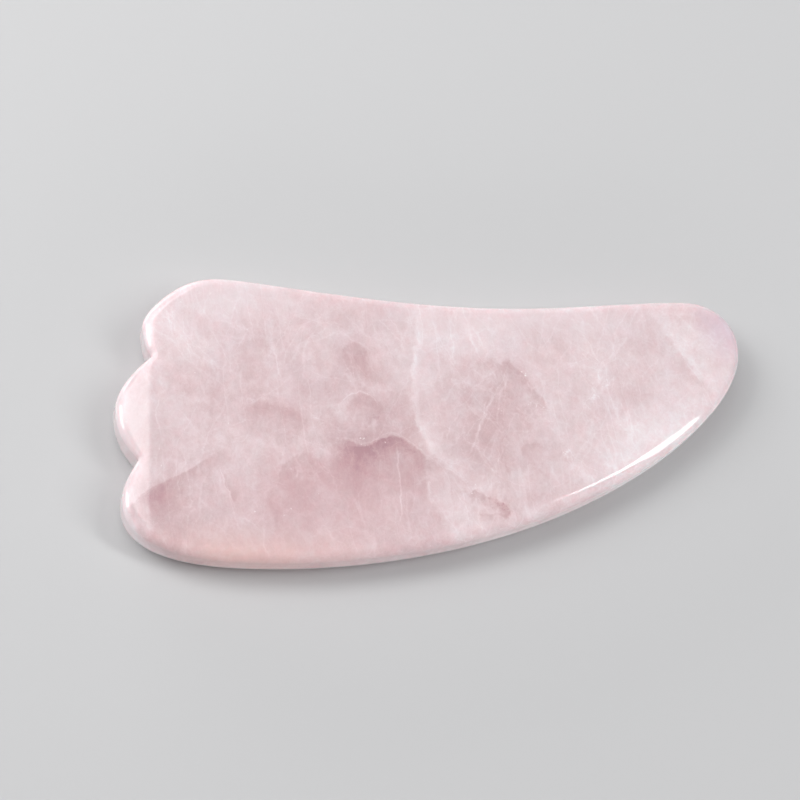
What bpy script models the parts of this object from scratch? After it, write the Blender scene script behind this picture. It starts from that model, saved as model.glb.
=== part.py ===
"""Gua sha scraper: one hand-held board cut from rose quartz, ground and polished all over.

Units are metres. +X runs from the scalloped end to the rounded tip, +Y from the convex belly to the
concave spine, and +Z is the board's normal. The origin is on the underside, under the middle of the
board's bounding box.

The board is a flat slab of one thickness. Its outline is a closed Bezier curve: three shallow lobes
at the wide end with a rounded notch between each pair, a long convex belly, a rounded tip, and a
long, slightly hollow spine. Both rims are rounded over, so that no edge is sharp on skin.
"""

import math

import bmesh
import bpy
from mathutils import Vector

# ---------------------------------------------------------------- driving dimensions
MM = 0.001

LENGTH = 105.0 * MM  # scalloped end to tip
WIDTH = 47.8 * MM  # belly to spine
THICKNESS = 6.5 * MM  # face to face
RIM_RADIUS = 1.6 * MM  # round-over along both rims
NOTCH_RADIUS = 0.4 * MM  # floor of the two notches between the lobes

OUTLINE_STEPS = 12  # straight pieces in each outline segment
RIM_STEPS = 5  # flat strips across each round-over

EDGE_ANGLE = math.radians(40)  # steeper edges are rounded over, or shaded sharp
WELD_DISTANCE = 0.01 * MM  # joins the curve's caps to its wall
CAP_MIN_NORMAL_Z = 0.9  # faces with a steeper normal than this belong to a cap

# ---------------------------------------------------------------- outline
HALF_LENGTH_MM = LENGTH / MM / 2
HALF_WIDTH_MM = WIDTH / MM / 2

# Anchors in millimetres, going round anticlockwise seen from above and starting on the crown of the
# upper lobe. Columns: place, x, y, heading in degrees, handle length before, handle length after.
# A notch is a corner with two headings, in and out; it is rounded with NOTCH_RADIUS.
OUTLINE = (
    ("upper lobe, crown", -35.7, HALF_WIDTH_MM, 180, 6.5, 8.5),
    ("upper lobe, side", -48.2, 15.3, 270, 1.5, 3.0),
    ("upper notch", -46.9, 9.6, (-66, -134), 1.5, 1.0),
    ("middle lobe, side", -HALF_LENGTH_MM, 0.5, 270, 4.5, 4.5),
    ("lower notch", -48.9, -7.8, (-52, -119), 1.0, 1.0),
    ("lower lobe, side", -51.4, -14.2, 270, 2.5, 9.0),
    ("belly, lowest point", -29.8, -HALF_WIDTH_MM, 0, 8.0, 15.5),
    ("belly, towards the tip", 22.2, -12.8, 25, 19.0, 17.5),
    ("tip, side", HALF_LENGTH_MM, 15.7, 90, 9.5, 4.5),
    ("tip, crown", 43.6, HALF_WIDTH_MM, 180, 5.5, 7.5),
    ("spine, deepest point", 6.1, 21.0, 180, 14.5, 19.0),
)

# ---------------------------------------------------------------- material
STONE_COLOUR = (0.752, 0.597, 0.610, 1.0)
STONE_ROUGHNESS = 0.10  # polished
STONE_IOR = 1.544  # quartz


def clear_scene():
    for obj in list(bpy.data.objects):
        bpy.data.objects.remove(obj, do_unlink=True)


def new_collection(name):
    collection = bpy.data.collections.new(name)
    bpy.context.scene.collection.children.link(collection)
    return collection


def rose_quartz():
    material = bpy.data.materials.new("rose_quartz")
    material.use_nodes = True
    shader = material.node_tree.nodes["Principled BSDF"]
    shader.inputs["Base Color"].default_value = STONE_COLOUR
    shader.inputs["Roughness"].default_value = STONE_ROUGHNESS
    shader.inputs["Metallic"].default_value = 0.0
    shader.inputs["IOR"].default_value = STONE_IOR
    material.diffuse_color = STONE_COLOUR
    return material


def direction(degrees):
    """The unit vector in the board's plane with this heading, measured from +X."""
    angle = math.radians(degrees)
    return Vector((math.cos(angle), math.sin(angle), 0.0))


def notch_anchors(corner, into, out, before, after):
    """The two ends of the arc that rounds a notch.

    The stone is on the left of the travel and the travel turns right at a notch, so the arc's
    centre lies outside the stone.
    """
    turn = into.angle(out)
    setback = NOTCH_RADIUS * math.tan(turn / 2)
    # The handle length with which one Bezier segment follows a circular arc.
    arc_handle = NOTCH_RADIUS * 4 / 3 * math.tan(turn / 4)
    start, end = corner - into * setback, corner + out * setback
    return [
        (start, start - into * before, start + into * arc_handle),
        (end, end - out * arc_handle, end + out * after),
    ]


def outline_anchors():
    """The closed outline as (point, handle before, handle after), in metres."""
    anchors = []
    for _place, x, y, headings, before_mm, after_mm in OUTLINE:
        point = Vector((x, y, 0.0)) * MM
        before, after = before_mm * MM, after_mm * MM
        if isinstance(headings, tuple):
            into, out = map(direction, headings)
            anchors += notch_anchors(point, into, out, before, after)
        else:
            along = direction(headings)
            anchors.append((point, point - along * before, point + along * after))
    return anchors


def outline_curve():
    """The outline as a flat, filled 2D curve with the slab's thickness, centred on z = 0."""
    curve = bpy.data.curves.new("board_outline", "CURVE")
    curve.dimensions = "2D"
    curve.fill_mode = "BOTH"
    curve.resolution_u = OUTLINE_STEPS
    curve.extrude = THICKNESS / 2  # to each side
    anchors = outline_anchors()
    spline = curve.splines.new("BEZIER")
    spline.bezier_points.add(len(anchors) - 1)  # a new spline already has one point
    spline.use_cyclic_u = True
    for knot, (point, before, after) in zip(spline.bezier_points, anchors):
        knot.handle_left_type = knot.handle_right_type = "FREE"
        knot.co, knot.handle_left, knot.handle_right = point, before, after
    return bpy.data.objects.new("board_outline", curve)


def slab_mesh(curve_object):
    """The curve as a closed mesh with one face on each side, resting on z = 0."""
    graph = bpy.context.evaluated_depsgraph_get()
    mesh = bpy.data.meshes.new_from_object(curve_object.evaluated_get(graph))
    work = bmesh.new()
    work.from_mesh(mesh)
    bmesh.ops.remove_doubles(work, verts=work.verts, dist=WELD_DISTANCE)
    # The fill comes as many faces; one face per side lets the bevel follow the outline alone.
    for side in (1, -1):
        cap = [face for face in work.faces if face.normal.z * side > CAP_MIN_NORMAL_Z]
        if len(cap) > 1:
            bmesh.ops.dissolve_faces(work, faces=cap)
    bmesh.ops.translate(work, vec=(0.0, 0.0, THICKNESS / 2), verts=work.verts)
    bmesh.ops.recalc_face_normals(work, faces=work.faces)
    work.to_mesh(mesh)
    work.free()
    return mesh


def round_rims(board):
    rim = board.modifiers.new("rim_round_over", "BEVEL")
    rim.width = RIM_RADIUS
    rim.offset_type = "OFFSET"
    rim.segments = RIM_STEPS
    rim.profile = 0.5  # a circular arc
    rim.limit_method = "ANGLE"
    rim.angle_limit = EDGE_ANGLE
    rim.use_clamp_overlap = False


def make_board(collection):
    outline = outline_curve()
    # The curve has to be in the scene to be evaluated.
    collection.objects.link(outline)
    bpy.context.view_layer.update()
    mesh = slab_mesh(outline)
    bpy.data.objects.remove(outline, do_unlink=True)

    mesh.name = "scraper_board"
    mesh.materials.clear()
    mesh.materials.append(rose_quartz())
    mesh.shade_smooth()
    mesh.set_sharp_from_angle(angle=EDGE_ANGLE)
    board = bpy.data.objects.new("scraper_board", mesh)
    collection.objects.link(board)
    round_rims(board)


def main():
    clear_scene()
    make_board(new_collection("gua_sha_scraper"))


main()
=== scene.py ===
"""Looks for the gua sha scraper: one board of polished rose quartz on a pale studio floor.

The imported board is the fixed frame. Its node is replaced by a finer board of the same outline, with a
softer, hand-polished round-over, and a stone material made of nodes. All stone coordinates are
millimetres in the board's own frame: +X (right) towards the tip, +Y (back) towards the hollow spine,
-Y (front) towards the belly, +Z out of the upper face.
"""

import math
from types import SimpleNamespace

import bmesh
import bpy
import numpy as np
from mathutils import Matrix, Vector, noise
from mathutils.geometry import delaunay_2d_cdt


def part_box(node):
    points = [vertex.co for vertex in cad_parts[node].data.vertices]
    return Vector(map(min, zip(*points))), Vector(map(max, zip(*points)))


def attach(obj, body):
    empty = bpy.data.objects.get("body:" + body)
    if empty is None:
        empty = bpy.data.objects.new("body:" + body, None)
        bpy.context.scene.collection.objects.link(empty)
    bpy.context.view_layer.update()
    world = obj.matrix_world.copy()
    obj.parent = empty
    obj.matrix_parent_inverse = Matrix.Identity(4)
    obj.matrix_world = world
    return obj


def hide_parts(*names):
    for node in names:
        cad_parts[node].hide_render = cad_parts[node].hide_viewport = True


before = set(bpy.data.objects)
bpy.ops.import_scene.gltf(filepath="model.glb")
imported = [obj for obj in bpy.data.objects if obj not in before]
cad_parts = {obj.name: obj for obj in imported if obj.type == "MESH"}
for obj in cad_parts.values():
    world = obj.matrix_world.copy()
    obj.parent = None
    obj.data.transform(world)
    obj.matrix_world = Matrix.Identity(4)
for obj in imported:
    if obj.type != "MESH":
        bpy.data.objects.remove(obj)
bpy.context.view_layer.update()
LOW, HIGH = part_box("scraper_board")

MM = 0.001
HALF_LENGTH = (HIGH.x - LOW.x) / MM / 2
HALF_WIDTH = (HIGH.y - LOW.y) / MM / 2
THICKNESS = (HIGH.z - LOW.z) / MM

# ------------------------------------------------------------------------------------ board mesh
# (x, y, heading in degrees, handle before, handle after, round-over radius), anticlockwise from the
# crown of the back left lobe. A notch has two headings and is rounded with NOTCH_RADIUS.
NOTCH_RADIUS = 0.4
OUTLINE = (
    (-35.7, HALF_WIDTH, 180, 6.5, 4.8, 1.7),
    (-44.1, 20.8, 218, 1.0, 1.6, 1.7),
    (-48.25, 14.55, 277.5, 2.25, 4.0, 1.5),
    (-46.9, 9.6, (-66, -134), 1.5, 1.0, 1.1),
    (-HALF_LENGTH, 0.5, 270, 4.5, 4.5, 1.9),
    (-48.9, -7.8, (-52, -119), 1.0, 1.0, 1.1),
    (-51.4, -14.2, 270, 2.5, 9.0, 1.8),
    (-29.8, -HALF_WIDTH, 0, 8.0, 15.5, 2.1),
    (22.2, -12.8, 25, 19.0, 17.5, 2.1),
    (HALF_LENGTH, 15.7, 90, 9.5, 4.5, 2.1),
    (43.6, HALF_WIDTH, 180, 5.5, 7.5, 1.8),
    (6.1, 21.0, 180, 14.5, 19.0, 1.6),
)
CURVE_STEPS = 400  # points along each Bezier of the outline
TRACE_POINTS = 12000  # even points on which the outline's bend is measured
TRACE_REACH = 3  # how many of them a direction looks ahead and back
BEND_BLUR = 25  # how many of them the bend is averaged over
BEND_CROWDING = 3  # how much closer the rim's points may lie in a bend
NORMAL_REACH = 0.03  # reach of the outline's direction, each way
RIM_POINTS = 1300  # points round each ring
RIM_STEPS = 15  # rings across each round-over
RIM_POWER = 2.25  # superellipse power: above 2, the round-over runs into the face with no crease
FACE_PITCH = 1.0  # spacing of the points inside a face
FACE_MARGIN = 0.45  # least distance from those points to the face's border
LEAN_REACH = 0.05  # reach over which the polish's tilt is measured, each way


def heading(degrees):
    return np.array([math.cos(math.radians(degrees)), math.sin(math.radians(degrees))])


def outline_knots():
    """(point, handle before, handle after, rim radius) of every anchor, with the notches rounded."""
    knots = []
    for x, y, turn, before, after, rim in OUTLINE:
        anchor = np.array([x, y], float)
        if not isinstance(turn, tuple):
            way = heading(turn)
            knots.append((anchor, anchor - way * before, anchor + way * after, rim))
            continue
        way_in, way_out = heading(turn[0]), heading(turn[1])
        angle = math.acos(float(way_in @ way_out))
        setback = NOTCH_RADIUS * math.tan(angle / 2)
        reach = NOTCH_RADIUS * 4 / 3 * math.tan(angle / 4)  # handles of a circular arc
        start, end = anchor - way_in * setback, anchor + way_out * setback
        knots.append((start, start - way_in * before, start + way_in * reach, rim))
        knots.append((end, end - way_out * reach, end + way_out * after, rim))
    return knots


def sampled_outline():
    """Points, outward normals and rim radii round the outline, crowded together in its bends."""
    knots = outline_knots()
    dense, radii = [], []
    for i, (p0, _, p1, radius) in enumerate(knots):
        p3, p2, _, next_radius = knots[(i + 1) % len(knots)]
        for t in np.linspace(0, 1, CURVE_STEPS, endpoint=False):
            s = 1 - t
            dense.append(s**3 * p0 + 3 * s * s * t * p1 + 3 * s * t * t * p2 + t**3 * p3)
            radii.append(radius + (next_radius - radius) * t * t * (3 - 2 * t))
    dense, radii = np.array(dense), np.array(radii)
    closed = np.vstack([dense, dense[:1]])
    run = np.r_[0, np.cumsum(np.linalg.norm(np.diff(closed, axis=0), axis=1))]
    perimeter = run[-1]

    def place(where, period=None):
        return np.stack([np.interp(where, run, closed[:, k], period=period) for k in (0, 1)], 1)

    fine = np.linspace(0, perimeter, TRACE_POINTS, endpoint=False)
    trace = place(fine)
    ahead = np.roll(trace, -TRACE_REACH, 0) - np.roll(trace, TRACE_REACH, 0)
    turn = np.unwrap(np.arctan2(ahead[:, 1], ahead[:, 0]))
    bend = np.abs(np.roll(turn, -TRACE_REACH) - np.roll(turn, TRACE_REACH))
    bend[:4] = bend[-4:] = 0  # the heading jumps by a full turn at the seam
    blurred = np.convolve(bend, np.ones(BEND_BLUR) / BEND_BLUR, "same")
    curvature = blurred / (2 * TRACE_REACH * perimeter / TRACE_POINTS)
    weight = 1 + BEND_CROWDING * np.minimum(1, curvature)
    steps = np.r_[0, np.cumsum(weight)]
    at = np.interp(
        np.linspace(0, steps[-1], RIM_POINTS, endpoint=False), steps, np.r_[fine, perimeter]
    )
    radii = np.interp(at, run, np.r_[radii, radii[:1]])
    along = place(at + NORMAL_REACH, perimeter) - place(at - NORMAL_REACH, perimeter)
    along /= np.linalg.norm(along, axis=1)[:, None]
    outward = np.stack([along[:, 1], -along[:, 0]], 1)
    return place(at), outward, radii


def polished(x, y, z):
    """z with the small rise and fall that hand polishing leaves. A face sits a few thousandths low,
    and the middle of the rim is left alone."""
    side = 1 if z > THICKNESS / 2 else -1
    reach = min(1.0, abs(z - THICKNESS / 2) / (THICKNESS / 2))
    wide = noise.noise(Vector((x * 0.045, y * 0.045, 3.1 + 5 * side)))
    fine = noise.noise(Vector((x * 0.15, y * 0.15, 9.4 + 5 * side)))
    return z - side * reach * reach * (0.004 + 0.0030 * wide + 0.0003 * fine)


def polish_lean(x, y, z):
    """How the polish tilts a face here, as the x and y of its normal."""
    e = LEAN_REACH
    return (
        (polished(x - e, y, z) - polished(x + e, y, z)) / (2 * e),
        (polished(x, y - e, z) - polished(x, y + e, z)) / (2 * e),
    )


def face_points(border):
    """A staggered field of points inside a closed border, clear of it by FACE_MARGIN."""
    field = []
    for row, y in enumerate(np.arange(-HALF_WIDTH, HALF_WIDTH, FACE_PITCH * 0.866)):
        shift = (row % 2) * FACE_PITCH / 2
        for x in np.arange(-HALF_LENGTH + shift, HALF_LENGTH, FACE_PITCH):
            field.append((x, y))
    field = np.array(field)
    gap = np.min(np.linalg.norm(field[:, None, :] - border[None, ::3, :], axis=2), axis=1)
    # a point is inside if a ray from it crosses the border an odd number of times
    within = np.zeros(len(field), bool)
    for (x0, y0), (x1, y1) in zip(border, np.roll(border, -1, 0)):
        if y1 != y0:
            spans = (y0 > field[:, 1]) != (y1 > field[:, 1])
            crossing = x0 + (field[:, 1] - y0) * (x1 - x0) / (y1 - y0)
            within ^= spans & (field[:, 0] < crossing)
    return field[within & (gap > FACE_MARGIN)]


def board_mesh():
    outline, outward, radii = sampled_outline()
    verts, faces, normals = [], [], []

    def ring(offset, heights, out, up):
        """One ring, inset by offset at the given heights. (out, up) is its normal across the rim."""
        first = len(verts)
        flat = outline - outward * offset[:, None]
        for (x, y), z, (out_x, out_y) in zip(flat, heights, outward):
            verts.append((x * MM, y * MM, polished(x, y, z) * MM))
            lean_x, lean_y = polish_lean(x, y, z)
            normal = Vector((out_x * out + lean_x * up, out_y * out + lean_y * up, up))
            normals.append(normal.normalized())
        return first, flat

    def stitch(a, b):
        for i in range(RIM_POINTS):
            j = (i + 1) % RIM_POINTS
            faces.append((a + i, a + j, b + j, b + i))

    def cap(first, border, side):
        """Fills a face, with the last ring as its border."""
        inside = face_points(border)
        points = [Vector((float(x), float(y))) for x, y in (*border, *inside)]
        count = len(border)
        edges = [(i, (i + 1) % count) for i in range(count)]
        triangles = delaunay_2d_cdt(points, edges, [], 1, 1e-5)[2]
        base = len(verts)
        level = THICKNESS if side > 0 else 0.0
        for x, y in inside:
            verts.append((x * MM, y * MM, polished(x, y, level) * MM))
            lean_x, lean_y = polish_lean(x, y, level)
            normals.append(Vector((lean_x * side, lean_y * side, side)).normalized())
        for triangle in triangles:
            ids = [first + v if v < count else base + v - count for v in triangle]
            faces.append(tuple(ids) if side > 0 else tuple(reversed(ids)))

    # quarter profile of a round-over of radius 1: from the face (0) to the side (1)
    steps = np.linspace(0, math.pi / 2, RIM_STEPS + 1)
    profile = list(
        zip(
            1 - np.sin(steps) ** (2 / RIM_POWER),  # inset
            1 - np.cos(steps) ** (2 / RIM_POWER),  # drop
            np.sin(steps) ** (2 - 2 / RIM_POWER),  # normal, outwards
            np.abs(np.cos(steps)) ** (2 - 2 / RIM_POWER),  # normal, upwards
        )
    )
    rings = [
        ring(radii * inset, THICKNESS - radii * drop, out, up) for inset, drop, out, up in profile
    ]
    for t in (1 / 3, 2 / 3):  # the upright side between the round-overs
        rings.append(ring(radii * 0, (THICKNESS - radii) * (1 - t) + radii * t, 1, 0))
    for inset, drop, out, up in profile[::-1]:
        rings.append(ring(radii * inset, radii * drop, out, -up))
    for (upper, _), (lower, _) in zip(rings, rings[1:]):
        stitch(lower, upper)
    cap(*rings[0], 1)
    cap(*rings[-1], -1)

    mesh = bpy.data.meshes.new("stone_board")
    mesh.from_pydata(verts, [], faces)
    work = bmesh.new()
    work.from_mesh(mesh)
    bmesh.ops.recalc_face_normals(work, faces=work.faces)
    work.to_mesh(mesh)
    work.free()
    mesh.shade_smooth()
    mesh.normals_split_custom_set_from_vertices(normals)
    return mesh


# ------------------------------------------------------------------------------------ node helpers
class Num:
    """A number in a node tree, with ordinary arithmetic."""

    def __init__(self, net, socket):
        self.net, self.socket = net, socket

    def __add__(self, other):
        return self.net.compute("ADD", self, other)

    def __sub__(self, other):
        return self.net.compute("SUBTRACT", self, other)

    def __mul__(self, other):
        return self.net.compute("MULTIPLY", self, other)


class Net:
    """Builds a node tree from formulas."""

    def __init__(self, tree):
        self.tree, self.count = tree, 0

    def new(self, kind, **settings):
        node = self.tree.nodes.new(kind)
        node.location = (-260 * (self.count % 40), -190 * (self.count // 40))
        self.count += 1
        for key, value in settings.items():
            setattr(node, key, value)
        return node

    def put(self, socket, value):
        if isinstance(value, Num):
            self.tree.links.new(value.socket, socket)
        elif hasattr(value, "is_output"):
            self.tree.links.new(value, socket)
        else:
            socket.default_value = value

    def compute(self, operation, *values):
        node = self.new("ShaderNodeMath", operation=operation)
        for k, value in enumerate(values):
            self.put(node.inputs[k], value)
        return Num(self, node.outputs[0])

    def scaled(self, value, by, plus):
        return self.compute("MULTIPLY_ADD", value, by, plus)

    def weighted(self, parts, total=None):
        """The sum of (value, weight) parts, added to total."""
        for value, weight in parts:
            total = value * weight if total is None else self.scaled(value, weight, total)
        return total

    def vector(self, operation, *values, scale=None):
        node = self.new("ShaderNodeVectorMath", operation=operation)
        for k, value in enumerate(values):
            self.put(node.inputs[k], value)
        if scale is not None:
            self.put(node.inputs["Scale"], scale)
        return node.outputs[0]

    def remap(self, kind, clamp, **values):
        node = self.new("ShaderNodeMapRange", interpolation_type=kind, clamp=clamp)
        sockets = ("Value", "From Min", "From Max", "To Min", "To Max")
        for key, name in zip(sockets, ("value", "low", "high", "to_low", "to_high")):
            self.put(node.inputs[key], values[name])
        return Num(self, node.outputs[0])

    def step(self, value, low, high, to_low=0.0, to_high=1.0):
        """A smooth step from to_low to to_high as value goes from low to high."""
        return self.remap(
            "SMOOTHSTEP", False, value=value, low=low, high=high, to_low=to_low, to_high=to_high
        )

    def linear(self, value, low, high, to_low, to_high):
        return self.remap(
            "LINEAR", True, value=value, low=low, high=high, to_low=to_low, to_high=to_high
        )

    def noise(self, vector, scale, detail, rough, distortion=0.0):
        node = self.new("ShaderNodeTexNoise")
        self.put(node.inputs["Vector"], vector)
        node.inputs["Scale"].default_value = scale
        node.inputs["Detail"].default_value = detail
        node.inputs["Roughness"].default_value = rough
        node.inputs["Distortion"].default_value = distortion
        return node

    def noise_level(self, *args, **kw):
        """Noise from 0 to 1."""
        return Num(self, self.noise(*args, **kw).outputs["Fac"])

    def grain(self, *args, **kw):
        """Noise centred on 0, roughly -1 to 1."""
        return self.scaled(self.noise_level(*args, **kw), by=2.6, plus=-1.3)

    def squeeze(self, vector, scale, turn=0, shift=(0, 0, 0)):
        """Turns the coordinates back by turn about Z, then scales them, so that a pattern stretched
        along Y lies along Y turned by turn."""
        node = self.new("ShaderNodeMapping", vector_type="TEXTURE")
        self.put(node.inputs["Vector"], vector)
        node.inputs["Location"].default_value = shift
        node.inputs["Rotation"].default_value = (0, 0, math.radians(turn))
        node.inputs["Scale"].default_value = [1 / k for k in scale]
        return node.outputs[0]

    def split(self, vector):
        node = self.new("ShaderNodeSeparateXYZ")
        self.put(node.inputs[0], vector)
        return [Num(self, socket) for socket in node.outputs]

    def mix(self, amount, start, end):
        node = self.new("ShaderNodeMix", data_type="RGBA", blend_type="MIX", clamp_factor=True)
        self.put(node.inputs["Factor"], amount)
        self.put(node.inputs[6], start)
        self.put(node.inputs[7], end)
        return node.outputs[2]

    def curve(self, value, points):
        node = self.new("ShaderNodeFloatCurve")
        self.put(node.inputs["Value"], value)
        line = node.mapping.curves[0]
        node.mapping.use_clip = False
        line.points[0].location = points[0]
        line.points[1].location = points[-1]
        for point in points[1:-1]:
            line.points.new(*point)
        node.mapping.update()
        return Num(self, node.outputs[0])

    # ---- shapes in the plane of the board, in millimetres
    def across(self, plane, points):
        """Follows a line through points. Returns how far along it is (0 to 1) and the signed distance
        from it, positive on the left of its direction."""
        x, y = plane
        points = np.array(points, float)
        first, last = points[0], points[-1]
        length = float(np.linalg.norm(last - first))
        way = (last - first) / length
        c, s = way
        left = np.array([-s, c])
        local = [((point - first) @ way, (point - first) @ left) for point in points]
        high = max(abs(off) for _, off in local) + 1.0
        along = self.scaled(x, by=c / length, plus=-(first @ way) / length)
        along = self.scaled(y, by=s / length, plus=along)
        off = self.scaled(x, by=-s, plus=-(first @ left))
        off = self.scaled(y, by=c, plus=off)
        bend = self.curve(along, [(u / length, 0.5 + v / (2 * high)) for u, v in local])
        return along, self.scaled(bend, by=-2 * high, plus=off + high)

    def window(self, along, start, end):
        """1 inside 0..1 and smoothly 0 at both ends."""
        return self.step(along, 0.0, start) * self.step(along, 1.0, 1.0 - end)

    def veil(self, plane, points, sharp, depth, start, end):
        """A sheet inside the stone, seen from above: crisp along the line and fading out on one side.
        depth is how far it fades, positive to the left of the line."""
        along, off = self.across(plane, points)
        if depth < 0:
            off, depth = off * -1.0, -depth
        body = self.step(off, -sharp, sharp) * self.step(off, depth, 0.0)
        return body * self.window(along, start, end)

    def thread(self, plane, points, width):
        """A fine line."""
        along, off = self.across(plane, points)
        body = self.step(self.compute("ABSOLUTE", off), width, 0.0)
        return body * self.window(along, start=0.2, end=0.2)

    def patch(self, plane, at, radii, turn=0.0, core=0.0):
        """A soft oval, 1 in the middle and 0 outside."""
        x, y = plane
        c, s = math.cos(math.radians(turn)), math.sin(math.radians(turn))
        at_x, at_y = at
        u = self.scaled(x, by=c / radii[0], plus=-(at_x * c + at_y * s) / radii[0])
        u = self.scaled(y, by=s / radii[0], plus=u)
        v = self.scaled(x, by=-s / radii[1], plus=(at_x * s - at_y * c) / radii[1])
        v = self.scaled(y, by=c / radii[1], plus=v)
        return self.step(self.compute("SQRT", self.scaled(u, by=u, plus=v * v)), 1.0, core)


# ------------------------------------------------------------------------------------ rose quartz
# Everything inside the stone adds to or takes from one number, how milky it is.
QUARTZ_IOR = 1.544
DARK_GAIN = 1.65  # overall strength of the dark sheets
THREAD_GAIN = 1.35  # overall strength of the pale threads
TUFT_GAIN = 1.6  # overall strength of the tufts
CALM_BELOW = 0.2  # dark sheets sharper than this follow the calmer folds

# Broad clouds: (centre, radii, turn in degrees, milkiness)
CLOUDS = (
    ((-44, 17), (16, 11), 20, 0.075),  # milky back left lobe
    ((-48, -4), (6, 15), 0, -0.020),
    ((-36, 6), (16, 9), 0, -0.035),
    ((-27, 1), (13, 8), -15, -0.060),
    ((-16, 9), (11, 6), 30, -0.065),
    ((-8, 3), (12, 8), 0, -0.055),
    ((-12, -6), (15, 9), -10, -0.105),  # the dark heart
    ((-22, -13), (14, 10), 0, -0.085),
    ((-36, -17), (20, 9), 0, -0.055),
    ((-45, -14), (9, 12), 20, -0.040),
    ((-8, -17), (14, 8), 0, -0.045),
    ((4, 17), (15, 6), -5, 0.080),  # milky along the spine
    ((8, 1), (11, 12), 20, -0.075),
    ((4, -6), (9, 9), 0, -0.040),
    ((4, -15), (6, 7), 0, 0.055),
    ((22, 10), (16, 12), 0, 0.025),
    ((34, -1), (19, 9), 36, 0.150),  # milky along the belly, near the tip: partly the stone's milkiness, partly painted brightness of the belly's highlight
    ((44, 14), (12, 12), 0, 0.075),
    ((24, 21), (26, 5), 4, 0.060),
    ((-15, -1), (8, 5), 0, -0.050),
    ((-24, -9), (8, 5), 0, -0.045),
    ((-45, 4), (6, 6), 0, 0.060),
    ((-52, -5), (6, 14), 0, 0.055),
    ((-50, 15), (4.5, 8), 0, 0.050),
    ((-52, -17), (5, 8), 0, 0.100),
    ((-24, -3), (5, 5), 0, 0.030),
    ((-33, 21), (15, 5), -4, 0.050),
    ((-42, -12), (6, 7), 0, 0.035),
    ((-10, -5), (5, 4), 0, 0.045),
    ((-20, -17), (5, 4), 0, 0.030),
    ((-35, -17), (6, 5), 0, 0.035),
    ((36, -3), (10, 5), 36, -0.025),
    ((38, 19), (10, 5), 0, 0.030),
    ((-46, -19), (6, 6), 0, -0.040),
)

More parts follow.
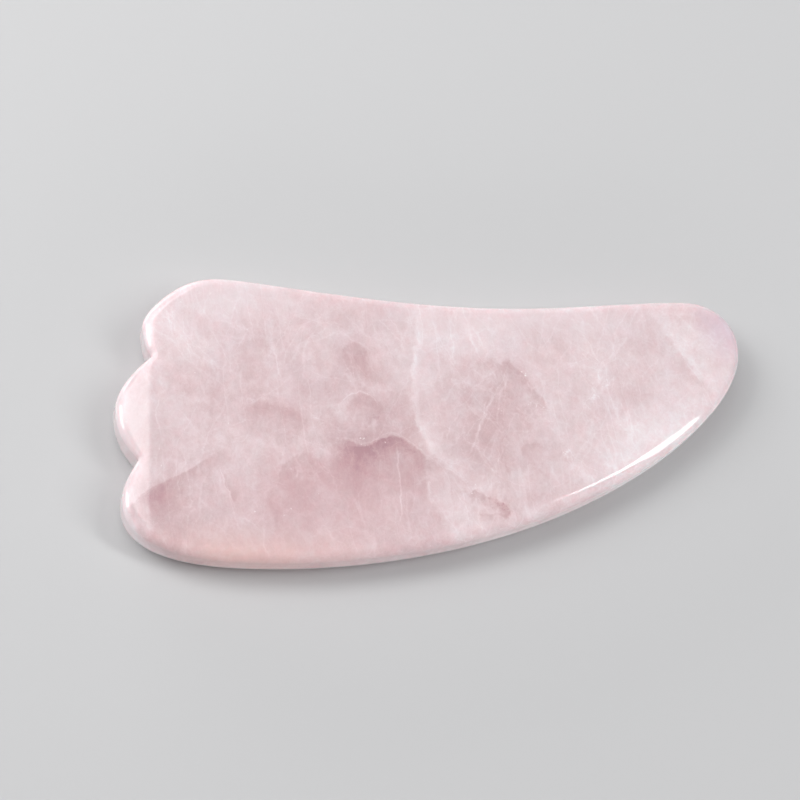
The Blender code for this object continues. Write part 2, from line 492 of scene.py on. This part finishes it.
# Sheets with one crisp edge: (points of the edge, softness of the edge, depth of the fade,
# strength, share of the length that fades in and out). A positive depth fades to the edge's left.
DARK_SHEETS = (
    # the ridge behind the dark heart
    (((-20.0, -4.6), (-18.4, -3.6), (-16.4, -3.4), (-13.4, -4.6), (-11.2, -3.7), (-8.2, -2.6),
      (-6.0, -3.5), (-3.8, -5.4), (-0.8, -7.7)), 0.20, -12.0, 0.062, (0.20, 0.15)),
    (((-17.5, -4.4), (-13.4, -4.8), (-8.2, -2.8), (-4.2, -5.2)), 0.18, -3.8, 0.095, (0.35, 0.40)),
    (((-18.6, -5.4), (-16.0, -6.6), (-13.6, -8.6), (-12.4, -11.6)), 0.9, -4.0, 0.040, (0.30, 0.40)),
    # the long line across the front left lobe
    (((-51.5, -16.2), (-47.2, -13.0), (-42.8, -10.4), (-39.6, -8.6), (-34.6, -5.2)),
     0.16, -5.5, 0.075, (0.02, 0.45)),
    (((-51.5, -16.6), (-47.2, -13.2), (-42.8, -10.8), (-38.6, -9.6)), 0.8, -9.0, 0.035, (0.02, 0.60)),
    # arch to the right of it
    (((-27.2, -13.4), (-26.6, -9.0), (-24.0, -6.4), (-20.4, -6.7), (-18.6, -9.0)),
     0.30, -4.5, 0.055, (0.30, 0.35)),
    (((-29.6, -12.0), (-28.0, -16.4), (-27.6, -21.0)), 0.7, 4.0, 0.045, (0.30, 0.40)),
    # the two round windows behind the ridge
    (((-16.6, 1.0), (-15.2, 3.3), (-13.0, 4.4), (-10.8, 3.0), (-9.6, -0.2)),
     0.40, -5.0, 0.052, (0.25, 0.25)),
    (((-18.4, 8.0), (-16.6, 11.4), (-14.4, 13.1), (-12.6, 11.0), (-12.2, 6.2)),
     0.45, -6.5, 0.050, (0.25, 0.35)),
    (((-12.8, 12.4), (-11.8, 9.0), (-12.2, 4.6)), 0.25, -3.0, 0.030, (0.25, 0.35)),
    # window by the back left lobe, and the ones in front of it
    (((-35.4, 8.0), (-33.0, 12.6), (-29.8, 13.4), (-27.3, 10.8), (-26.6, 6.2)),
     0.45, -6.0, 0.030, (0.30, 0.20)),
    (((-34.0, -1.6), (-31.0, 1.4), (-27.0, 1.6), (-22.6, -0.4), (-20.4, -3.4)),
     0.60, -5.0, 0.040, (0.30, 0.30)),
    (((-38.4, 6.4), (-38.0, 1.4), (-38.6, -4.4)), 0.5, 5.0, 0.026, (0.30, 0.30)),
    (((-46.0, 6.4), (-42.6, 5.4), (-40.0, 2.0)), 0.8, -5.0, 0.025, (0.30, 0.30)),
    # the peaked shape right of the middle
    (((2.6, -6.4), (5.4, 0.4), (8.6, 7.8), (11.6, 11.9)), 0.60, -5.0, 0.026, (0.30, 0.05)),
    (((11.2, 12.0), (13.8, 8.8), (16.2, 5.9), (18.2, 1.6)), 0.30, -4.5, 0.055, (0.10, 0.30)),
    (((5.6, 10.4), (7.6, 11.2), (10.6, 11.4)), 0.40, -3.0, 0.035, (0.20, 0.20)),
    (((-1.6, 5.4), (0.4, 8.0), (3.4, 8.6)), 0.60, -4.0, 0.026, (0.20, 0.20)),
    (((12.6, -4.3), (13.6, -3.3), (15.4, -3.0), (16.8, -3.8)), 0.25, -2.6, 0.040, (0.10, 0.20)),
    (((8.2, -2.6), (9.4, -6.4), (10.6, -9.0)), 0.50, 3.4, 0.035, (0.20, 0.30)),
    (((14.0, -6.4), (16.0, -8.0), (18.6, -8.4)), 0.40, -3.0, 0.030, (0.20, 0.30)),
    # small shards near the belly
    (((4.6, -11.2), (6.6, -12.3), (8.8, -13.5), (10.2, -15.0)), 0.14, -2.6, 0.070, (0.04, 0.06)),
    (((5.2, -15.2), (7.6, -15.4), (9.8, -15.0)), 0.20, -1.7, 0.055, (0.10, 0.10)),
    (((8.0, -13.6), (9.4, -15.0), (9.6, -16.6)), 0.25, -1.6, 0.045, (0.10, 0.20)),
    # sheet across the tip
    (((36.4, 21.4), (39.4, 16.8), (42.2, 12.6), (44.4, 9.4), (46.8, 5.9)),
     0.35, -5.0, 0.022, (0.15, 0.10)),
    (((41.4, 13.4), (42.4, 11.4), (44.4, 9.4), (46.6, 6.2)), 0.30, -2.4, 0.018, (0.25, 0.15)),
    # sliver by the front left lobe
    (((-36.4, -10.4), (-35.2, -12.6), (-34.0, -15.0)), 0.14, 2.6, 0.055, (0.10, 0.20)),
)
PALE_SHEETS = (
    # the long curtain: crisp on its left, fading to the right
    (((-3.6, 20.0), (-4.2, 13.4), (-5.0, 5.0), (-4.0, -0.8), (-1.2, -6.6), (4.0, -10.3), (8.8, -13.2)),
     0.45, 5.5, 0.066, (0.02, 0.25)),
    (((-3.8, 20.0), (-4.4, 13.4), (-5.2, 5.0), (-4.2, -0.8), (-1.4, -6.8)),
     0.35, 1.6, 0.056, (0.12, 0.15)),
    # cloudy drift between the windows
    (((-28.4, 12.4), (-26.2, 4.0), (-23.0, 0.8), (-19.2, -2.2), (-16.6, -3.2)),
     0.9, 2.6, 0.060, (0.10, 0.15)),
    (((-28.4, 12.4), (-26.6, 4.0), (-23.4, 0.6), (-19.6, -2.6), (-16.6, -3.6)),
     0.6, -1.6, 0.040, (0.10, 0.15)),
    (((-20.0, 3.4), (-17.4, 1.6), (-14.0, 5.0), (-11.6, 6.4)), 0.5, 1.8, 0.040, (0.10, 0.15)),
    # light lip of the tip's sheet
    (((36.6, 21.4), (39.6, 16.8), (42.4, 12.6), (44.6, 9.4), (47.0, 5.9)),
     0.35, 4.0, 0.030, (0.05, 0.10)),
    # milky column from the curtain to the belly
    (((-3.4, -8.4), (-2.8, -11.6), (-1.2, -16.0), (0.4, -20.8)), 0.7, 6.0, 0.055, (0.10, 0.05)),
    # wisps by the left lobes
    (((-33.4, 2.2), (-30.6, 3.4), (-27.6, 2.4)), 0.4, -1.6, 0.050, (0.20, 0.20)),
    (((-37.0, -8.6), (-36.2, -11.0), (-35.2, -13.8)), 0.2, -1.4, 0.060, (0.20, 0.20)),
)

# Single pale threads: (points, half width, strength)
THREADS = (
    (((8.9, 6.4), (6.4, 0.6), (3.6, -6.2)), 0.28, 0.060),
    (((7.6, 5.2), (6.2, 0.6), (5.0, -4.2)), 0.20, 0.050),
    (((11.2, 9.6), (9.6, 4.4), (8.4, -0.6)), 0.35, 0.045),
    (((-7.8, -3.4), (-8.0, -8.0), (-7.5, -13.0), (-7.7, -17.8)), 0.22, 0.085),
    (((-10.6, -5.6), (-11.2, -10.6), (-10.4, -15.4)), 0.16, 0.040),
    (((-2.6, -9.6), (-2.9, -12.0), (-2.5, -14.2)), 0.50, 0.070),
    (((-17.4, 1.6), (-13.8, 4.6), (-10.0, 1.4)), 0.25, 0.060),
    (((-29.4, -17.6), (-29.8, -20.4), (-29.2, -24.0)), 0.30, 0.060),
    (((-36.4, -8.8), (-35.8, -11.2), (-34.0, -15.2)), 0.18, 0.070),
    (((-27.6, 12.0), (-26.9, 9.4), (-26.6, 6.0)), 0.20, 0.060),
    (((-20.0, -4.9), (-16.4, -3.1), (-13.4, -4.2), (-8.2, -2.2), (-3.8, -5.0), (-0.8, -7.3),
      (5.0, -10.6)), 0.20, 0.034),
    (((-45.8, 3.0), (-46.2, -1.0), (-45.8, -4.0)), 0.22, 0.050),
    (((9.4, 12.4), (10.4, 6.4), (9.8, 0.6)), 0.16, 0.036),
    (((12.6, 12.6), (8.0, 4.0), (1.4, -4.6)), 0.14, 0.040),
    (((19.4, -2.4), (22.6, -6.0), (27.4, -8.4)), 0.14, 0.044),
    (((-22.4, 8.4), (-18.0, 6.6), (-12.6, 6.8)), 0.12, 0.036),
    (((-9.4, 1.4), (-6.8, 4.6), (-5.4, 9.2)), 0.13, 0.036),
    (((-8.2, 0.4), (-7.6, -2.4), (-4.8, 2.8)), 0.12, 0.030),
    (((-21.4, -6.6), (-19.8, -9.2), (-16.4, -11.4)), 0.14, 0.044),
    (((-6.6, -4.2), (-5.2, -10.4), (-6.6, -17.6)), 0.13, 0.034),
    (((-42.0, -16.4), (-41.4, -20.0), (-42.2, -23.4)), 0.16, 0.040),
    (((-24.2, -8.8), (-25.4, -8.0), (-24.6, -10.4)), 0.25, 0.070),
)

# Tufts of fine milkiness, and a few of fine darkness: (centre, radii, turn, milkiness)
TUFTS = (
    ((27.6, 8.8), (3.2, 1.8), -25, 0.150), ((25.6, 5.2), (1.6, 2.6), 0, 0.110),
    ((31.6, 7.8), (2.6, 1.4), 0, 0.080), ((16.0, 3.2), (1.6, 2.2), 40, 0.130),
    ((20.3, -4.6), (1.5, 2.8), 25, 0.130), ((13.6, 8.0), (1.2, 3.0), 35, 0.080),
    ((-30.2, 2.6), (3.6, 1.5), 5, 0.100), ((-25.0, -8.9), (2.0, 1.8), 40, 0.100),
    ((-26.0, -16.0), (2.0, 1.2), 40, 0.090), ((-17.8, -3.2), (3.0, 1.1), -15, 0.100),
    ((-14.2, -3.9), (1.6, 0.9), -20, 0.120), ((-20.6, 0.4), (4.5, 2.2), -40, 0.060),
    ((4.8, -11.4), (2.4, 1.2), -30, 0.080), ((2.2, -20.2), (2.4, 1.0), 12, 0.160),
    ((-27.0, 14.6), (4.0, 2.6), -30, 0.045), ((37.0, -4.6), (7.0, 2.6), 38, 0.060),
    ((40.0, 5.6), (3.6, 1.6), -40, 0.050), ((-2.6, -11.6), (1.4, 3.0), 0, 0.070),
    ((8.6, -13.7), (3.6, 2.3), -35, -0.170), ((-13.6, -5.8), (5.6, 2.6), -5, -0.120),
    ((-6.2, -4.8), (3.2, 1.8), -30, -0.080), ((-11.6, 0.4), (3.0, 2.4), 0, -0.080),
    ((-21.0, -9.6), (4.6, 3.0), 20, -0.070), ((9.6, 6.0), (4.6, 5.0), 30, -0.060),
)

# Fibres all through the stone: (turn, pitch, length, width, seed, milkiness)
FIBRES = (
    (8, 2.8, 24.0, 0.028, 0.0, 0.050),
    (-24, 3.6, 26.0, 0.024, 13.0, 0.044),
    (34, 3.6, 26.0, 0.024, 29.0, 0.044),
    (62, 4.0, 28.0, 0.022, 37.0, 0.036),
    (-58, 4.0, 28.0, 0.022, 53.0, 0.036),
    (88, 5.0, 28.0, 0.020, 71.0, 0.028),
)

# Texture all through the stone: (folds, squeeze, turn, scale, detail, milkiness)
TEXTURES = (
    ("calm", (1.0, 0.30, 0.6), 4, 1.1, 4.0, 0.036),  # brushed, along the board's width
    ("calm", (1.0, 0.30, 0.6), -24, 1.0, 4.0, 0.010),
    ("calm", (1.0, 0.30, 0.6), 34, 1.0, 4.0, 0.008),
    ("calm", (1.0, 0.30, 0.6), 78, 1.0, 4.0, 0.006),
    ("deep", (1.0, 0.75, 1.0), 30, 0.24, 5.0, 0.034),  # drifting cloud
    ("near", (1.0, 0.80, 1.0), 0, 0.60, 6.0, 0.044),  # mottle
    ("near", (1.0, 0.70, 1.0), 0, 3.4, 3.0, 0.062),
)

# Spots where the painted glints crowd: (centre, radius)
PAINTED_GLINT_SPOTS = (
    ((9.4, 2.2), 1.2), ((15.4, 3.4), 1.5), ((20.2, -4.4), 1.6), ((-25.0, -8.7), 1.4),
    ((27.8, 8.4), 2.4), ((-25.8, -16.2), 1.2), ((-13.4, -3.8), 1.6), ((4.8, -11.2), 1.3),
    ((2.6, -20.4), 1.2), ((14.2, 8.6), 1.6),
)

# (milkiness, colour)
MILK_COLOURS = (
    (0.30, (0.490, 0.318, 0.345)),
    (0.40, (0.568, 0.392, 0.414)),
    (0.50, (0.632, 0.480, 0.495)),
    (0.60, (0.714, 0.587, 0.603)),
    (0.70, (0.785, 0.686, 0.705)),
    (0.82, (0.850, 0.810, 0.828)),
)
GREY_MILK = (0.735, 0.650, 0.667, 1)
# colour of the painted glints
PAINTED_GLINT_COLOUR = (0.95, 0.92, 0.92, 1)

# Washes of colour, in order: (centre, radii, turn, core, strength, colour)
WASHES = (
    ((-37, -27.5), (33, 12.5), 4, 0.0, 0.85, (0.760, 0.500, 0.455, 1)),  # peach, front left
    ((-20, -13), (25, 12), 0, 0.2, 0.22, (0.730, 0.480, 0.500, 1)),  # flush
    ((-53, -3), (9, 24), 0, 0.0, 0.60, GREY_MILK),  # left edge
    ((-34, 23), (20, 6), 0, 0.0, 0.40, GREY_MILK),  # along the spine
    ((12, 20), (34, 5), 0, 0.0, 0.35, GREY_MILK),
    ((49, 20), (7, 9), 30, 0.0, 0.35, (0.640, 0.520, 0.640, 1)),  # lilac at the tip
    ((37, -6.5), (16, 5), 36, 0.0, 0.45, (0.800, 0.740, 0.800, 1)),  # painted sheen: lavender-white haze along the belly's highlight
)


def folded(net, place, seed, *warps):
    """Stone coordinates folded by warps of (scale, reach in mm)."""
    for k, (scale, reach) in enumerate(warps):
        shifted = net.squeeze(place, (1, 0.8, 1), shift=(seed, 7.0 * k, 0))
        warp = net.noise(shifted, scale, detail=3.0, rough=0.6)
        off = net.vector("SUBTRACT", warp.outputs["Color"], (0.5, 0.5, 0.5))
        place = net.vector("ADD", place, net.vector("SCALE", off, scale=reach))
    return place


def stone_folds(net, surface):
    """Folded coordinates inside the stone (calm, near, deep) and the planes that shapes lie in."""
    # Where the line of sight goes once it has bent into the stone, so that what lies deeper shifts
    # against the surface as the view moves.
    geometry = net.new("ShaderNodeNewGeometry")
    inward = net.vector("SCALE", geometry.outputs["Incoming"], scale=-1.0)
    bent = net.vector("REFRACT", inward, geometry.outputs["Normal"], scale=1 / QUARTZ_IOR)

    def inside(depth):
        return net.vector("ADD", surface, net.vector("SCALE", bent, scale=depth))

    calm = folded(net, inside(depth=0.3), 3.0, (0.25, 1.6), (0.9, 0.35))
    near = folded(net, calm, 17.0, (0.75, 1.1), (2.4, 0.40))
    deep = folded(net, inside(depth=1.6), 41.0, (0.22, 4.0), (0.8, 2.0))
    near_x, near_y, near_z = net.split(near)
    calm_x, calm_y, _ = net.split(calm)
    deep_x, deep_y, deep_z = net.split(deep)
    # Sheets lean, so the lower face shows them shifted and weaker.
    below = near_z - THICKNESS
    return SimpleNamespace(
        calm=calm,
        near=near,
        deep=deep,
        sheet_plane=(near_x + below * 0.55, near_y + below * 0.35),
        line_plane=(calm_x + below * 0.55, calm_y + below * 0.35),
        cloud_plane=(deep_x + (deep_z - THICKNESS) * 0.9, deep_y - (deep_z - THICKNESS) * 0.5),
        upper=net.step(near_z, low=-1.5, high=4.5, to_low=0.30),
    )


def patches(net, plane, table):
    """(patch, amount) of every (centre, radii, turn, amount) in a table."""
    return ((net.patch(plane, at, radii, turn), amount) for at, radii, turn, amount in table)


def healed_cracks(net, where):
    """A ragged web of healed cracks, about 1 on average."""
    node = net.new("ShaderNodeTexNoise", noise_type="RIDGED_MULTIFRACTAL", normalize=False)
    net.put(node.inputs["Vector"], net.squeeze(where, (1, 1, 1), shift=(-30, 0, 0)))
    settings = dict(Scale=0.22, Detail=6.0, Roughness=0.66, Lacunarity=2.1, Offset=1.0, Gain=1.2)
    for key, value in settings.items():
        node.inputs[key].default_value = value
    return Num(net, node.outputs["Fac"])


def broad_milk(net, folds):
    drift = net.squeeze(folds.deep, (0.8, 1.0, 1.0), turn=20)
    cloud = net.grain(drift, scale=0.075, detail=3.0, rough=0.55)
    milk = net.scaled(cloud, by=0.034, plus=0.560)
    milk = net.scaled(healed_cracks(net, folds.near), by=0.032, plus=milk)
    return net.weighted(patches(net, folds.cloud_plane, CLOUDS), milk)


def dark_sheets(net, folds, streaks):
    parts = []
    for points, sharp, depth, strength, ends in DARK_SHEETS:
        plane = folds.line_plane if sharp < CALM_BELOW else folds.sheet_plane
        parts.append((net.veil(plane, points, sharp, depth, *ends), strength))
    breaks = net.grain(folds.near, scale=0.32, detail=4.0, rough=0.62)
    return net.weighted(parts) * (net.scaled(streaks, by=0.38, plus=0.90) + breaks * 0.42)


def pale_sheets(net, folds, streaks):
    parts = []
    for points, sharp, depth, strength, ends in PALE_SHEETS:
        parts.append((net.veil(folds.sheet_plane, points, sharp, depth, *ends), strength))
    for points, width, strength in THREADS:
        parts.append((net.thread(folds.line_plane, points, width), strength * THREAD_GAIN))
    breaks = net.grain(folds.near, scale=0.40, detail=4.0, rough=0.62)
    return net.weighted(parts) * (net.scaled(streaks, by=-0.30, plus=0.95) + breaks * 0.40)


def heart_striations(net, folds):
    """Rays that run from the ridge through the dark heart."""
    heart = net.patch(folds.sheet_plane, at=(-11.5, -9.5), radii=(13, 8), turn=-8, core=0.2)
    brushed = net.squeeze(folds.calm, (2.1, 0.20, 0.5), turn=-4)
    return heart * net.grain(brushed, scale=0.9, detail=4.0, rough=0.65)


def fibres(net, where, turn, pitch, length, width, seed):
    """Long pale threads, lying along the board's width turned by an angle, in drifts."""
    stretched = net.squeeze(where, (1 / pitch, 1 / length, 0.4), turn, (seed, 0, 0))
    field = net.noise_level(stretched, scale=1.0, detail=1.0, rough=0.5)
    ridge = net.compute("ABSOLUTE", field - 0.5)
    shifted = net.squeeze(where, (1, 0.7, 1), shift=(0, seed, 0))
    drift = net.noise_level(shifted, scale=0.11, detail=2.0, rough=0.5)
    return net.step(ridge, low=width, high=0.0) * net.step(drift, low=0.43, high=0.62)


def fine_texture(net, folds, milk):
    """Adds the fine threads and cloudiness all through the stone."""
    for *shape, amount in FIBRES:
        milk = net.scaled(fibres(net, folds.calm, *shape), by=amount, plus=milk)
    slanted = net.squeeze(folds.deep, (1.2, 0.55, 0.7), turn=38)
    wisp = net.noise_level(slanted, scale=0.30, detail=5.0, rough=0.60, distortion=0.8)
    ridge = net.compute("ABSOLUTE", wisp - 0.5)
    milk = net.scaled(net.step(ridge, low=0.030, high=0.0), by=0.026, plus=milk)
    for fold, squash, turn, scale, detail, amount in TEXTURES:
        where = net.squeeze(getattr(folds, fold), squash, turn)
        milk = net.scaled(net.grain(where, scale, detail, rough=0.66), by=amount, plus=milk)
    return milk


def painted_glints(net, folds):
    """Painted glints: pale dots put into the colour where tiny healed cracks would catch the light."""
    cells = net.new("ShaderNodeTexVoronoi", voronoi_dimensions="3D", feature="F1")
    net.put(cells.inputs["Vector"], net.squeeze(folds.near, (1, 1, 0.4)))
    cells.inputs["Scale"].default_value = 2.0
    cells.inputs["Randomness"].default_value = 1.0
    crowded = [(at, (radius, radius), 0, 0.75) for at, radius in PAINTED_GLINT_SPOTS]
    chance = net.split(cells.outputs["Color"])[0]
    picked = net.weighted(patches(net, folds.sheet_plane, crowded), chance)
    dot = net.step(Num(net, cells.outputs["Distance"]), low=0.30, high=0.08)
    return dot * net.step(picked, low=0.988, high=1.000)


def stone_colour(net, folds, milk, painted_glint):
    ramp = net.new("ShaderNodeValToRGB")
    net.put(ramp.inputs[0], milk)
    ramp.color_ramp.interpolation = "LINEAR"
    while len(ramp.color_ramp.elements) < len(MILK_COLOURS):
        ramp.color_ramp.elements.new(0.5)
    for element, (at, colour) in zip(ramp.color_ramp.elements, MILK_COLOURS):
        element.position = at
        element.color = (*colour, 1)
    # some of the milkiness is greyer, some of it warmer
    shifted = net.squeeze(folds.deep, (1.0, 0.8, 1.0), shift=(5, 9, 0))
    tint = net.grain(shifted, scale=0.16, detail=4.0, rough=0.62)
    shifted = net.squeeze(folds.near, (1.0, 0.6, 1.0), shift=(31, 2, 0))
    warm = net.grain(shifted, scale=0.55, detail=4.0, rough=0.65)
    hue = net.new("ShaderNodeCombineColor")
    net.put(hue.inputs[0], net.scaled(warm, by=0.012, plus=tint * 0.024 + 1.008))
    hue.inputs[1].default_value = 1.0
    net.put(hue.inputs[2], net.scaled(tint, by=-0.012, plus=1.0))
    colour = net.vector("MULTIPLY", ramp.outputs[0], hue.outputs[0])
    for at, radii, turn, core, strength, wash in WASHES:
        amount = net.patch(folds.cloud_plane, at, radii, turn, core) * strength
        colour = net.mix(amount, colour, wash)
    # the painted glints: pale dots mixed into the colour
    return net.mix(painted_glint * 0.8, colour, PAINTED_GLINT_COLOUR)


def rose_quartz():
    material = bpy.data.materials.new("rose_quartz_polished")
    material.use_nodes = True
    shader = material.node_tree.nodes["Principled BSDF"]
    net = Net(material.node_tree)
    coords = net.new("ShaderNodeTexCoord")
    surface = net.vector("SCALE", coords.outputs["Object"], scale=1000.0)
    folds = stone_folds(net, surface)
    brushed = net.squeeze(folds.calm, (1.9, 0.28, 0.6), turn=6)
    streaks = net.grain(brushed, scale=0.75, detail=4.0, rough=0.62)

    milk = broad_milk(net, folds)
    milk = milk - dark_sheets(net, folds, streaks) * folds.upper * DARK_GAIN
    milk = net.scaled(heart_striations(net, folds), by=0.048, plus=milk)
    milk = net.scaled(pale_sheets(net, folds, streaks), by=folds.upper, plus=milk)
    speckle = net.grain(folds.near, scale=1.1, detail=4.0, rough=0.7)
    tuft = net.step(speckle, low=-0.15, high=0.75)
    tufts = net.weighted(patches(net, folds.sheet_plane, TUFTS))
    milk = net.scaled(tufts, by=tuft * folds.upper * TUFT_GAIN, plus=milk)
    milk = fine_texture(net, folds, milk)
    # the base colour carries the painted glints
    net.put(shader.inputs["Base Color"], stone_colour(net, folds, milk, painted_glints(net, folds)))

    # polish
    rubbed = net.squeeze(surface, (1.0, 0.25, 1.0), turn=25)
    smear = net.grain(rubbed, scale=0.35, detail=3.0, rough=0.6)
    net.put(shader.inputs["Roughness"], net.scaled(smear, by=0.006, plus=0.022))
    shader.inputs["IOR"].default_value = QUARTZ_IOR
    shader.inputs["Metallic"].default_value = 0.0
    shader.inputs["Subsurface Weight"].default_value = 1.0
    shader.inputs["Subsurface Radius"].default_value = (1.0, 0.72, 0.76)
    shader.inputs["Subsurface Scale"].default_value = 0.0028
    shader.inputs["Subsurface Anisotropy"].default_value = 0.3
    material.diffuse_color = (0.752, 0.597, 0.610, 1)
    return material


# ------------------------------------------------------------------------------------ studio
# Metres from here on.
HORIZON = 0.66  # how bright the room looks at the horizon
ROOM_TONE = (0.98, 0.985, 1.0, 1)
ROOM_LIGHT = 0.25  # how brightly the room lights the board
LIGHT_AIM = Vector((0, 0, 0.003))


def paper():
    material = bpy.data.materials.new("studio_paper")
    material.use_nodes = True
    nodes = material.node_tree.nodes
    net = Net(material.node_tree)
    shader = nodes["Principled BSDF"]
    shader.inputs["Base Color"].default_value = (0.55, 0.55, 0.555, 1)
    shader.inputs["Roughness"].default_value = 0.75
    shader.inputs["IOR"].default_value = 1.35
    # To the camera, the floor fades into the even tone of the room away from the board.
    away = net.new("ShaderNodeVectorMath", operation="LENGTH")
    net.put(away.inputs[0], net.new("ShaderNodeTexCoord").outputs["Object"])
    fade = net.step(Num(net, away.outputs["Value"]), low=0.08, high=0.30)
    room = net.new("ShaderNodeEmission")
    room.inputs["Color"].default_value = ROOM_TONE
    room.inputs["Strength"].default_value = HORIZON
    far = net.new("ShaderNodeMixShader")
    path = net.new("ShaderNodeLightPath")
    net.put(far.inputs[0], fade * Num(net, path.outputs["Is Camera Ray"]))
    net.put(far.inputs[1], shader.outputs[0])
    net.put(far.inputs[2], room.outputs[0])
    net.put(nodes["Material Output"].inputs["Surface"], far.outputs[0])
    return material


def studio_floor():
    mesh = bpy.data.meshes.new("studio_floor")
    work = bmesh.new()
    bmesh.ops.create_circle(work, cap_ends=True, segments=96, radius=4.5)
    work.to_mesh(mesh)
    work.free()
    floor = bpy.data.objects.new("studio_floor", mesh)
    bpy.context.scene.collection.objects.link(floor)
    floor.location = (0, 0, LOW.z - 0.0001)
    mesh.materials.append(paper())
    floor.visible_glossy = False


def softbox(name, at, size, radiance, turn=0, mirrored=True, lights=True):
    """A softbox facing the board. It can be left out of what the polish mirrors, or only be
    mirrored, as a white card is."""
    light = bpy.data.lights.new(name, "AREA")
    light.shape = "RECTANGLE"
    light.size, light.size_y = size
    light.energy = radiance * math.pi * size[0] * size[1]
    lamp = bpy.data.objects.new(name, light)
    bpy.context.scene.collection.objects.link(lamp)
    lamp.location = at
    facing = (LIGHT_AIM - Vector(at)).to_track_quat("-Z", "Y").to_matrix()
    lamp.rotation_euler = (facing @ Matrix.Rotation(math.radians(turn), 3, "Z")).to_euler()
    lamp.visible_camera = False
    lamp.visible_glossy = mirrored
    lamp.visible_diffuse = lights
    return lamp


def overhead(name, x_range, y_range, z, radiance):
    """A softbox lying level above the board, given by its edges."""
    at = (sum(x_range) / 2, sum(y_range) / 2, z)
    lamp = softbox(name, at, (x_range[1] - x_range[0], y_range[1] - y_range[0]), radiance)
    lamp.rotation_euler = (0, 0, 0)


def room():
    """An even room. What the polish mirrors is darker low down in front, as it is where a black flag
    stands before a glossy object, so that its rims are drawn."""
    world = bpy.data.worlds.new("studio")
    bpy.context.scene.world = world
    world.use_nodes = True
    net = Net(world.node_tree)
    background = world.node_tree.nodes["Background"]
    path = net.new("ShaderNodeLightPath")
    coords = net.new("ShaderNodeTexCoord")
    _, back, rise = net.split(coords.outputs["Generated"])
    skyline = net.step(rise, low=-0.02, high=0.02) * net.step(rise, low=0.16, high=0.05)
    flag = net.step(back, low=0.0, high=-0.45)
    ground = net.scaled(flag, by=-0.40, plus=0.50) * net.step(rise, low=0.04, high=-0.04)
    sky = net.step(rise, low=0.15, high=0.95, to_low=0.10, to_high=0.30)
    mirrored = net.scaled(skyline, by=0.52, plus=sky) + ground
    seen = net.linear(rise, low=0.0, high=0.5, to_low=HORIZON, to_high=0.80)
    glossy_ray = Num(net, path.outputs["Is Glossy Ray"])
    camera_ray = Num(net, path.outputs["Is Camera Ray"])
    level = net.scaled(glossy_ray, by=mirrored - ROOM_LIGHT, plus=ROOM_LIGHT)
    level = net.scaled(camera_ray, by=seen - level, plus=level)
    background.inputs["Color"].default_value = ROOM_TONE
    net.put(background.inputs["Strength"], level)


def lights():
    # Its right edge runs parallel to the board's Y axis, so its mirror image on the face ends in a
    # straight line across the left lobes.
    overhead("key_left", x_range=(-0.90, 0.0184), y_range=(0.165, 0.45), z=0.6065, radiance=3.5)
    softbox("strip_left", at=(-0.58, 0.21, 0.46), size=(0.50, 0.42), radiance=4.35, mirrored=False)
    # Far enough round to the left that the face itself doesn't mirror it from in front.
    softbox("card_left", at=(-0.624, 0.144, 0.28), size=(0.30, 0.38), radiance=7.0, lights=False)
    softbox("strip_back", at=(-0.30, 0.58, 0.11), size=(0.50, 0.08), radiance=9.0)
    softbox("spot_right", at=(0.45, -0.03, 0.53), size=(0.115, 0.50), radiance=10.5, turn=-33)
    softbox("fill_front", at=(-0.10, -0.85, 0.13), size=(1.0, 0.22), radiance=3.2, mirrored=False)
    softbox("fill_right", at=(0.62, -0.62, 0.13), size=(0.8, 0.22), radiance=2.5, mirrored=False)


def camera():
    """100 mm lens, 65 degrees above the board, turned and rolled by about 30 degrees."""
    data = bpy.data.cameras.new("camera")
    data.lens, data.sensor_width = 100, 36
    data.clip_start, data.clip_end = 0.01, 20
    viewer = bpy.data.objects.new("camera", data)
    bpy.context.scene.collection.objects.link(viewer)
    target = Vector((-0.0062, 0.00486, THICKNESS * MM / 2))
    distance = 0.36128
    rise, turn, roll = math.radians(65), math.radians(-30.1), math.radians(30)
    flat = math.cos(rise)
    away = Vector((math.sin(turn) * flat, -math.cos(turn) * flat, math.sin(rise)))
    viewer.matrix_world = (
        Matrix.Translation(target + away * distance)
        @ (-away).to_track_quat("-Z", "Y").to_matrix().to_4x4()
        @ Matrix.Rotation(roll, 4, "Z")
    )
    bpy.context.scene.camera = viewer


def stone_board():
    mesh = board_mesh()
    board = bpy.data.objects.new("stone_board", mesh)
    bpy.context.scene.collection.objects.link(board)
    mesh.materials.append(rose_quartz())
    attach(board, "root")
    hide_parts("scraper_board")


stone_board()
studio_floor()
room()
lights()
camera()
bpy.context.scene.view_settings.view_transform = "Standard"
